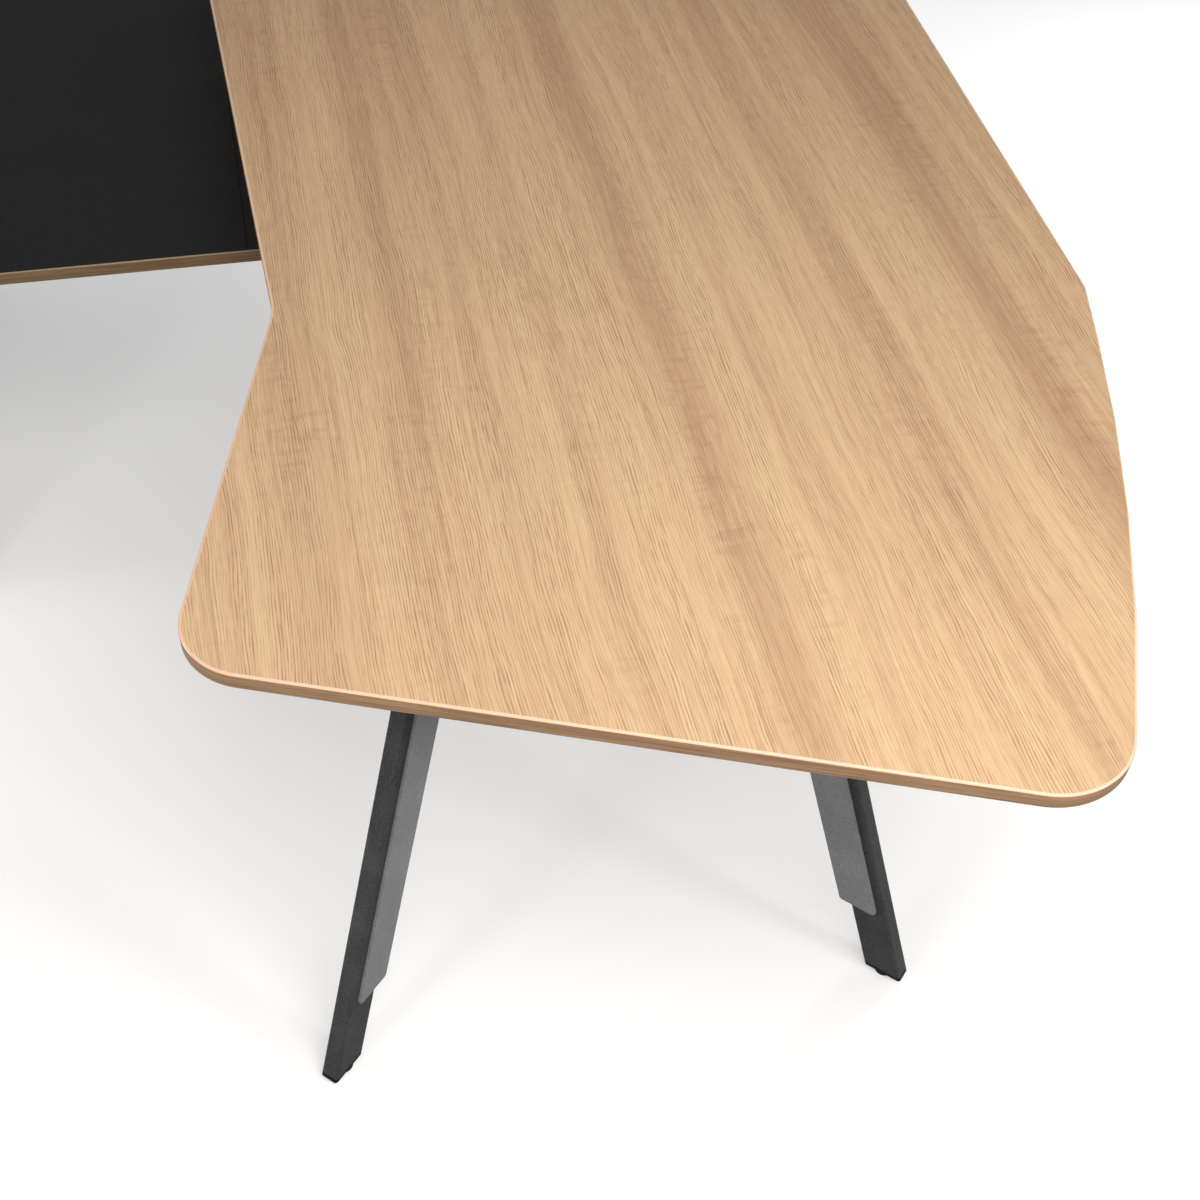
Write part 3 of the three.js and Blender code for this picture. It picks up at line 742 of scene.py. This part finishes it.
def build_leg(leg):
    low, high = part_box(f"leg_tube_{leg}")
    tall = high.z - low.z
    bm = bmesh.new()
    whole = section_face(bm, *TUBE, 0.0)
    wall = split_outline(bm, whole, TUBE_WALL)
    bmesh.ops.delete(bm, geom=[whole], context="FACES_ONLY")
    raise_faces(bm, wall, tall)
    bmesh.ops.transform(bm, matrix=leg_matrix(leg), verts=bm.verts)
    make_piece(bm, f"leg_{leg}", "leg_paint", [f"leg_tube_{leg}"])
    eased(f"leg_plate_{leg}", "plate_paint", settings().shapes.plate_edge, 3)
    eased(f"foot_cap_{leg}", "black_plastic", CAP_EDGE)

    # the weld that joins the tube to its mounting plate
    bm = bmesh.new()
    section_face(bm, *TUBE, tall - BEAD)
    upper = raise_faces(bm, bm.faces[:], BEAD)
    spread = [(side + 2 * BEAD) / side for side in TUBE]
    bmesh.ops.scale(bm, vec=(*spread, 1), verts=upper)
    bmesh.ops.transform(bm, matrix=leg_matrix(leg), verts=bm.verts)
    make_piece(bm, f"weld_{leg}", "frame_paint", [])


# ---------------------------------------------------------------- glides


def ribbed_disc(bm, node):
    """A glide's foot disc with a ribbed rim, on its stem."""
    low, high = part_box(node)
    centre = (low + high) / 2
    radius = (high.x - low.x) / 2
    tall = high.z - low.z
    profile = [
        (0, 0),
        (radius - DISC_SOLE, 0),
        (radius - 0.6 * DISC_SOLE, 0.4 * DISC_SOLE),
        (radius, 0.8 * DISC_SOLE),
        (radius, DISC_HEIGHT - DISC_TOP),
        (radius - DISC_TOP, DISC_HEIGHT),
        (STEM_RADIUS + STEM_SHOULDER, DISC_HEIGHT),
        (STEM_RADIUS, DISC_HEIGHT),
        (STEM_RADIUS, tall - STEM_TIP),
        (STEM_RADIUS - STEM_TIP, tall),
        (0, tall),
    ]
    verts = [bmesh.ops.create_vert(bm, co=(r, 0, z))["vert"][0] for r, z in profile]
    edges = [bm.edges.new(pair) for pair in zip(verts, verts[1:])]
    bmesh.ops.spin(
        bm,
        geom=verts + edges,
        cent=(0, 0, 0),
        axis=(0, 0, 1),
        angle=math.tau,
        steps=GLIDE_STEPS,
        use_merge=True,
    )
    bmesh.ops.remove_doubles(bm, verts=bm.verts, dist=WELD)
    bmesh.ops.recalc_face_normals(bm, faces=bm.faces)
    bm.faces.ensure_lookup_table()
    rim = [f for f in bm.faces if f.calc_center_median().xy.length > radius - RIM_BAND]
    rim.sort(key=lambda f: math.atan2(*f.calc_center_median().xy))
    upright = [f for f in rim if abs(f.normal.z) < math.sin(SMOOTH)]
    bmesh.ops.inset_individual(bm, faces=upright[::2], thickness=RIB_BORDER, depth=-RIB_DEPTH)
    bmesh.ops.translate(bm, verts=bm.verts, vec=(centre.x, centre.y, low.z))


def build_glides():
    nodes = [f"glide_{leg}" for leg in LEGS] + [f"pedestal_glide_{f}" for f in PEDESTAL_FEET]
    for node in nodes:
        bm = bmesh.new()
        ribbed_disc(bm, node)
        make_piece(bm, f"{node}_finished", "black_plastic", [node], body_of(node))
    for foot in PEDESTAL_FEET:
        eased(f"pedestal_foot_{foot}", "black_plastic", COLLAR_EDGE)


# ---------------------------------------------------------------- screws


def pushed_out(bm, face, depth, share=1.0):
    """Pushes a face down by a depth, scaled about the screw's axis, and returns it."""
    face = bmesh.ops.extrude_discrete_faces(bm, faces=[face])["faces"][0]
    bmesh.ops.scale(bm, vec=(share, share, 1), verts=face.verts)
    bmesh.ops.translate(bm, verts=face.verts, vec=(0, 0, -depth))
    return face


def add_screw(bm, at, radius):
    """A pan-head screw with a cross recess, driven upwards, its head below the point given."""
    before = set(bm.verts)
    tall = radius * SCREW_HEIGHT
    made = bmesh.ops.create_circle(bm, cap_ends=True, segments=SCREW_SEGMENTS, radius=radius)
    base = made["verts"][0].link_faces[0]
    top = bmesh.ops.extrude_face_region(bm, geom=[base], use_keep_orig=True)["geom"]
    head = next(part for part in top if isinstance(part, bmesh.types.BMFace))
    bmesh.ops.translate(bm, verts=head.verts, vec=(0, 0, -tall * SCREW_RIM))
    for share, drop in SCREW_DOME:
        head = pushed_out(bm, head, tall * drop, share)
    head = pushed_out(bm, head, 0.0, RECESS_WIDTH)
    for i, vert in enumerate(head.verts):
        reach = CROSS_PATTERN[i % len(CROSS_PATTERN)]
        bmesh.ops.scale(bm, vec=(reach, reach, 1), verts=[vert])
    pushed_out(bm, head, -tall * RECESS_DEPTH)
    fresh = [vert for vert in bm.verts if vert not in before]
    bmesh.ops.translate(bm, verts=fresh, vec=at)


def build_screws(name, places, radius):
    bm = bmesh.new()
    for place in places:
        add_screw(bm, place, radius)
    bmesh.ops.recalc_face_normals(bm, faces=bm.faces)
    make_piece(bm, name, "zinc", [])


# ---------------------------------------------------------------- frame under the main top


def build_under_frame():
    shapes = settings().shapes
    for node in ("head_frame_near", "head_frame_far", "long_beam_left", "long_beam_right"):
        eased(node, "frame_paint", shapes.steel_edge)
    for pair in ("near", "far"):
        low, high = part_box(f"head_frame_{pair}")
        rows = (low.y + SCREW_INSET, high.y - SCREW_INSET)
        ends = (low.x + SCREW_INSET, low.x + PLATE_LENGTH - SCREW_INSET)
        columns = (*ends, *(low.x + high.x - x for x in ends))
        under = high.z - PLATE_THICKNESS
        places = [(x, y, under) for x in columns for y in rows]
        build_screws(f"screws_head_frame_{pair}", places, shapes.screw_radius)


# ---------------------------------------------------------------- return


def build_return():
    shapes = settings().shapes
    eased("return_board", "dark_board", INLAY_EDGE)
    for node in ("return_inlay", "return_end_inlay"):
        eased(node, "black_inlay", INLAY_EDGE)
    # The lippings take the darker return_edge material, which is painted shade, with a painted
    # highlight on their upward faces.
    for node in ("return_edge_front", "return_edge_back", "return_edge_left"):
        eased(node, "oak_edge", shapes.return_arris, 3, "return_edge")
    for i in (1, 2):
        eased(f"return_rail_{i}", "frame_paint", shapes.steel_edge)
        eased(f"return_hanger_{i}", "frame_paint", HANGER_EDGE)
        low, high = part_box(f"return_hanger_{i}")
        y = (low.y + high.y) / 2
        rows = (y - HANGER_SCREW_APART / 2, y + HANGER_SCREW_APART / 2)
        upper = high.x - HANGER_SCREW_IN
        lower = low.x + HANGER_SCREW_IN
        places = [(upper, row, high.z - PLATE_THICKNESS) for row in rows]
        places += [(lower, row, low.z) for row in rows]
        build_screws(f"screws_return_hanger_{i}", places, shapes.screw_radius)


# ---------------------------------------------------------------- pedestal and drawers


def build_pedestal():
    width = settings().shapes.board_edge
    for part in ("side_left", "side_right", "bottom", "top", "back"):
        eased(f"pedestal_{part}", "dark_board", width)


def build_drawers():
    shapes = settings().shapes
    for drawer in DRAWERS:
        eased(f"drawer_front_{drawer}", "oak", shapes.front_arris, 3, "oak_front")
        eased(f"drawer_box_{drawer}", "drawer_board", shapes.board_edge)
        eased(f"handle_{drawer}", "leg_paint", HANDLE_EDGE, 3)
        for side in SIDES:
            eased(f"runner_rail_{drawer}_{side}", "zinc", RUNNER_EDGE)
            eased(f"runner_slide_{drawer}_{side}", "zinc", RUNNER_EDGE)


# ---------------------------------------------------------------- stage


# Soft boxes: where each stands, what it faces and how wide it is
SOFT_BOXES = {
    "key": ((0.5, -1.65, 2.4), (0.25, -0.75, 0.6), 1.3),
    "fill_left": ((-1.9, -2.2, 1.5), (0.0, -0.7, 0.2), 0.5),
    "fill_right": ((2.3, -2.3, 1.5), (0.5, -0.7, 0.2), 0.5),
    "low_left": ((-2.6, 0.2, 0.33), (-0.9, 0.6, 0.0), 0.5),
    "low_back": ((0.5, 3.2, 0.33), (0.2, 1.0, 0.25), 0.5),
    "low_right": ((2.9, 0.7, 0.45), (1.2, 0.5, 0.0), 0.5),
}
HORIZON = 0.1  # how far above and below level the two strengths of the surround blend


def soft_box(name, power, tint):
    """A square light that the camera doesn't see."""
    place, target, size = SOFT_BOXES[name]
    light = bpy.data.lights.new(name, "AREA")
    light.shape = "SQUARE"
    light.size = size
    light.energy = power
    light.color = tint
    lamp = bpy.data.objects.new(name, light)
    bpy.context.scene.collection.objects.link(lamp)
    lamp.visible_camera = False
    look = Vector(target) - Vector(place)
    lamp.location = place
    lamp.rotation_euler = look.to_track_quat("-Z", "Y").to_euler()


def build_surround(stage):
    """Even light from above, a weaker one from below, and a pale backdrop to look at."""
    world = bpy.data.worlds.new("studio")
    world.use_nodes = True
    tree = Tree(world.node_tree)
    background = world.node_tree.nodes["Background"].inputs
    way = tree.node("ShaderNodeTexCoord", {}).outputs["Generated"]
    height = tree.node("ShaderNodeSeparateXYZ", {"Vector": way}).outputs["Z"]
    low, high = stage.surround_low, stage.surround_strength
    tree.put(background["Color"], colour(stage.surround_colour))
    light = tree.between(height, -HORIZON, HORIZON, low, high)
    seen = tree.node("ShaderNodeLightPath", {}).outputs["Is Camera Ray"]
    shown = tree.math("MULTIPLY", seen, stage.backdrop)
    unseen = tree.math("MULTIPLY", tree.math("SUBTRACT", 1.0, seen), light)
    tree.put(background["Strength"], tree.math("ADD", shown, unseen))
    bpy.context.scene.world = world


def build_floor(stage):
    """A glowing pale floor. It takes the desk's shadow, and doesn't tint or light the desk."""
    bm = bmesh.new()
    bmesh.ops.create_grid(bm, x_segments=1, y_segments=1, size=stage.floor_size / 2)
    mesh = bpy.data.meshes.new("studio_floor")
    bm.to_mesh(mesh)
    bm.free()
    tree, shader, place = new_material("studio_floor")
    cloud = tree.noise(tree.stretched(place, 0.6, 0.6, 0.6), 2.0)
    pale = colour(stage.floor_colour)
    lighter = tree.between(cloud, 0.2, 0.8, 0.0, 0.1)
    tree.put(shader["Base Color"], tree.mix(lighter, pale, colour(WHITE)))
    tree.put(shader["Roughness"], 0.9)
    tree.put(shader["Specular IOR Level"], 0.1)
    tree.put(shader["Emission Color"], colour(WHITE))
    tree.put(shader["Emission Strength"], stage.floor_glow)
    mesh.materials.append(bpy.data.materials["desk_studio_floor"])
    floor = bpy.data.objects.new("studio_floor", mesh)
    bpy.context.scene.collection.objects.link(floor)
    floor.visible_diffuse = False
    floor.visible_glossy = False


CAMERA_PLACE = (-0.0669, -1.8287, 1.9665)
CAMERA_YAW = math.radians(14.70)
CAMERA_PITCH = math.radians(46.87)
CAMERA_ROLL = math.radians(-3.226)
CAMERA_LENS = 49.63
SENSOR = 36.0


def build_camera():
    """A camera turned right, then tilted down, then rolled about its own line of sight."""
    forward = Vector(
        (
            math.sin(CAMERA_YAW) * math.cos(CAMERA_PITCH),
            math.cos(CAMERA_YAW) * math.cos(CAMERA_PITCH),
            -math.sin(CAMERA_PITCH),
        )
    )
    right = Vector((math.cos(CAMERA_YAW), -math.sin(CAMERA_YAW), 0))
    right.rotate(Matrix.Rotation(CAMERA_ROLL, 3, forward))
    up = right.cross(forward)
    data = bpy.data.cameras.new("camera")
    data.lens = CAMERA_LENS
    data.sensor_width = SENSOR
    camera = bpy.data.objects.new("camera", data)
    bpy.context.scene.collection.objects.link(camera)
    turn = Matrix((right, up, -forward)).transposed().to_4x4()
    camera.matrix_world = Matrix.Translation(CAMERA_PLACE) @ turn
    bpy.context.scene.camera = camera


def build_stage():
    stage = settings().stage
    scene = bpy.context.scene
    scene.view_settings.view_transform = "Standard"
    build_surround(stage)
    build_floor(stage)
    soft_box("key", stage.key_power, stage.key_tint)
    soft_box("fill_left", stage.fill_left_power, WHITE)
    soft_box("fill_right", stage.fill_right_power, WHITE)
    soft_box("low_left", stage.low_left_power, WHITE)
    soft_box("low_back", stage.low_back_power, WHITE)
    soft_box("low_right", stage.low_right_power, WHITE)
    build_camera()


# ---------------------------------------------------------------- settings


def tone(title, words, value):
    """A colour setting, in linear values."""
    return bpy.props.FloatVectorProperty(
        name=title, description=words, default=value, size=3, min=0.0, max=1.0, subtype="COLOR"
    )


def measure(title, words, value, most):
    """A length setting."""
    return bpy.props.FloatProperty(
        name=title,
        description=words,
        default=value,
        min=0.0,
        max=most,
        precision=4,
        subtype="DISTANCE",
        unit="LENGTH",
    )


def power(title, words, value):
    """A light's power."""
    return bpy.props.FloatProperty(
        name=title, description=words, default=value, min=0.0, subtype="POWER", unit="POWER"
    )


def strength(title, words, value):
    """A strength that has no unit."""
    return bpy.props.FloatProperty(name=title, description=words, default=value, min=0.0)


class CornerDeskShapes(bpy.types.PropertyGroup):
    """How far the edges are rounded or eased"""

    top_arris: measure("Top arris", "Radius along the main top's upper edge", 2.6 * MM, LIPPING)
    under_arris: measure("Under arris", "Radius along the main top's lower edge", 1.2 * MM, LIPPING)
    return_arris: measure("Return arris", "Easing of the return's lippings", 0.8 * MM, LIPPING)
    plate_edge: measure("Plate edge", "Rounding of the legs' flat plates", 0.8 * MM, 2 * MM)
    steel_edge: measure("Steel edge", "Easing of the frame's cut edges", 0.3 * MM, MM)
    board_edge: measure("Board edge", "Easing of the pedestal and drawer boards", 0.6 * MM, 2 * MM)
    front_arris: measure("Front arris", "Rounding of the drawer fronts", 1.2 * MM, 3 * MM)
    screw_radius: measure("Screw head", "Radius of the screw heads", 4.6 * MM, 8 * MM)


class CornerDeskFinishes(bpy.types.PropertyGroup):
    """Colours of the desk's materials"""

    oak_pale: tone("Oak pale", "Pale stripes of the oak", (0.73, 0.515, 0.30))
    oak_rosy: tone("Oak rosy", "Warm stripes of the oak", (0.64, 0.41, 0.24))
    oak_brown: tone("Oak brown", "Dark bands and lines of the oak", (0.42, 0.237, 0.138))
    oak_pore: tone("Oak pore", "Open pores of the oak", (0.25, 0.125, 0.06))
    lipping_ground: tone("Lipping", "Solid edge of the main top", (0.50, 0.30, 0.165))
    lipping_streak: tone("Lipping streak", "Dark streaks in that edge", (0.26, 0.14, 0.07))
    # Painted highlight on the main lipping's upward faces, and also the colour of its worn edges.
    lipping_highlight_and_wear: tone("Lipping arris", "Rubbed corners of that edge", (0.90, 0.60, 0.42))
    # Painted shade: these are the main lipping's colours, darkened. The arris colour is also the
    # painted highlight on the upward faces and the colour of worn edges.
    return_shaded_ground: tone("Return edge", "Solid edges of the return", (0.27, 0.165, 0.085))
    return_shaded_streak: tone("Return edge streak", "Dark streaks in those edges", (0.13, 0.075, 0.035))
    return_arris: tone("Return arris", "Rubbed corners of those edges", (0.42, 0.33, 0.20))
    inlay: tone("Inlay", "Black field of the return", (0.0075, 0.0075, 0.008))
    inlay_thread: tone("Inlay thread", "Raised threads of the black field", (0.014, 0.014, 0.015))
    dark_board: tone("Dark board", "Pedestal and the return's core", (0.030, 0.027, 0.024))
    dark_fleck: tone("Dark board fleck", "Lighter texture of the dark board", (0.070, 0.064, 0.058))
    drawer_board: tone("Drawer board", "Drawer boxes", (0.44, 0.41, 0.36))
    drawer_thread: tone("Drawer thread", "Lighter threads of the drawer boxes", (0.58, 0.55, 0.50))
    leg_paint: tone("Leg paint", "Tubes of the legs", (0.030, 0.029, 0.029))
    leg_speck: tone("Leg speck", "Specks in the dark paint", (0.115, 0.113, 0.111))
    plate_paint: tone("Plate paint", "Flat plates of the legs", (0.19, 0.19, 0.195))
    plate_speck: tone("Plate speck", "Specks in the plates' paint", (0.40, 0.40, 0.405))
    frame_paint: tone("Frame paint", "Steel frame under the tops", (0.020, 0.020, 0.020))
    rubbed: tone("Rubbed paint", "Paint worn thin along an edge", (0.32, 0.31, 0.30))
    plastic: tone("Plastic", "Foot caps and glides", (0.005, 0.007, 0.011))
    scuff: tone("Plastic scuff", "Scuffs on the glides", (0.07, 0.07, 0.075))
    zinc_bright: tone("Zinc bright", "Bright crystals of the zinc", (0.66, 0.67, 0.69))
    zinc_dull: tone("Zinc dull", "Dull crystals of the zinc", (0.42, 0.43, 0.45))


class CornerDeskStage(bpy.types.PropertyGroup):
    """Floor, surround and lights"""

    floor_size: measure("Floor size", "Side of the square floor", 30.0, 200.0)
    floor_colour: tone("Floor", "Pale studio floor", (0.68, 0.68, 0.68))
    floor_glow: strength("Floor glow", "How much the floor shines by itself", 0.34)
    surround_colour: tone("Surround", "Colour of the light from all sides", (0.96, 0.98, 1.0))
    surround_strength: strength("Surround strength", "Strength of the light from above", 0.33)
    backdrop: strength("Backdrop", "How bright the surround looks", 0.58)
    surround_low: strength("Surround below", "Strength of the light from below", 0.25)
    key_power: power("Key light", "Soft box over the near end", 40.0)
    key_tint: tone("Key tint", "Colour of the key light", (1.0, 0.965, 0.91))
    fill_left_power: power("Left fill", "Soft box at the front left", 15.0)
    fill_right_power: power("Right fill", "Soft box at the front right", 21.0)
    low_right_power: power("Low right", "Soft box that lights the floor on the right", 40.0)
    low_back_power: power("Low back", "Soft box behind the desk, below its tops", 36.0)
    low_left_power: power("Low left", "Soft box that lights the floor under the return", 32.0)


class CornerDeskSettings(bpy.types.PropertyGroup):
    """All settings of the corner desk"""

    shapes: bpy.props.PointerProperty(
        name="Shapes", description="Edge roundings", type=CornerDeskShapes
    )
    finishes: bpy.props.PointerProperty(
        name="Finishes", description="Material colours", type=CornerDeskFinishes
    )
    stage: bpy.props.PointerProperty(
        name="Stage", description="Floor and lights", type=CornerDeskStage
    )


# ---------------------------------------------------------------- operators


class CORNERDESK_OT_materials(bpy.types.Operator):
    """Build the shared node groups and the desk's materials"""

    bl_idname = "corner_desk.materials"
    bl_label = "Materials"

    def execute(self, context):
        build_groups()
        build_materials(settings().finishes)
        return {"FINISHED"}


class CORNERDESK_OT_main_top(bpy.types.Operator):
    """Build the main top's oak face and its solid lipping"""

    bl_idname = "corner_desk.main_top"
    bl_label = "Main top"

    def execute(self, context):
        build_top()
        return {"FINISHED"}


class CORNERDESK_OT_legs(bpy.types.Operator):
    """Build the four leaning legs with their plates, caps and welds"""

    bl_idname = "corner_desk.legs"
    bl_label = "Legs"

    def execute(self, context):
        for leg in LEGS:
            build_leg(leg)
        return {"FINISHED"}


class CORNERDESK_OT_glides(bpy.types.Operator):
    """Build the levelling glides and the pedestal's collars"""

    bl_idname = "corner_desk.glides"
    bl_label = "Glides"

    def execute(self, context):
        build_glides()
        return {"FINISHED"}


class CORNERDESK_OT_under_frame(bpy.types.Operator):
    """Build the steel frame under the main top and its screws"""

    bl_idname = "corner_desk.under_frame"
    bl_label = "Frame under the top"

    def execute(self, context):
        build_under_frame()
        return {"FINISHED"}


class CORNERDESK_OT_return(bpy.types.Operator):
    """Build the return's slab, black field, lippings and supports"""

    bl_idname = "corner_desk.return_slab"
    bl_label = "Return"

    def execute(self, context):
        build_return()
        return {"FINISHED"}


class CORNERDESK_OT_pedestal(bpy.types.Operator):
    """Build the pedestal's boards"""

    bl_idname = "corner_desk.pedestal"
    bl_label = "Pedestal"

    def execute(self, context):
        build_pedestal()
        return {"FINISHED"}


class CORNERDESK_OT_drawers(bpy.types.Operator):
    """Build the drawers with their fronts, handles and runners"""

    bl_idname = "corner_desk.drawers"
    bl_label = "Drawers"

    def execute(self, context):
        build_drawers()
        return {"FINISHED"}


class CORNERDESK_OT_stage(bpy.types.Operator):
    """Build the floor, the lights and the camera"""

    bl_idname = "corner_desk.stage"
    bl_label = "Stage"

    def execute(self, context):
        build_stage()
        return {"FINISHED"}


STEPS = (
    CORNERDESK_OT_materials,
    CORNERDESK_OT_main_top,
    CORNERDESK_OT_legs,
    CORNERDESK_OT_glides,
    CORNERDESK_OT_under_frame,
    CORNERDESK_OT_return,
    CORNERDESK_OT_pedestal,
    CORNERDESK_OT_drawers,
    CORNERDESK_OT_stage,
)


class CORNERDESK_PT_sidebar(bpy.types.Panel):
    """Lists the desk's settings and the operators that build it"""

    bl_label = "Corner desk"
    bl_idname = "CORNERDESK_PT_sidebar"
    bl_space_type = "VIEW_3D"
    bl_region_type = "UI"
    bl_category = "Corner desk"

    def draw(self, context):
        column = self.layout.column()
        for group in (settings().shapes, settings().finishes, settings().stage):
            for key in group.bl_rna.properties.keys():
                if key not in ("rna_type", "name"):
                    column.prop(group, key)
        for step in STEPS:
            column.operator(step.bl_idname)


CLASSES = (
    CornerDeskShapes,
    CornerDeskFinishes,
    CornerDeskStage,
    CornerDeskSettings,
    *STEPS,
    CORNERDESK_PT_sidebar,
)


def register():
    for cls in CLASSES:
        bpy.utils.register_class(cls)
    bpy.types.Scene.corner_desk = bpy.props.PointerProperty(
        name="Corner desk", description="Settings of the corner desk", type=CornerDeskSettings
    )


def unregister():
    del bpy.types.Scene.corner_desk
    for cls in reversed(CLASSES):
        bpy.utils.unregister_class(cls)


def main():
    register()
    for step in STEPS:
        group, name = step.bl_idname.split(".")
        getattr(getattr(bpy.ops, group), name)()


if __name__ == "__main__":
    main()
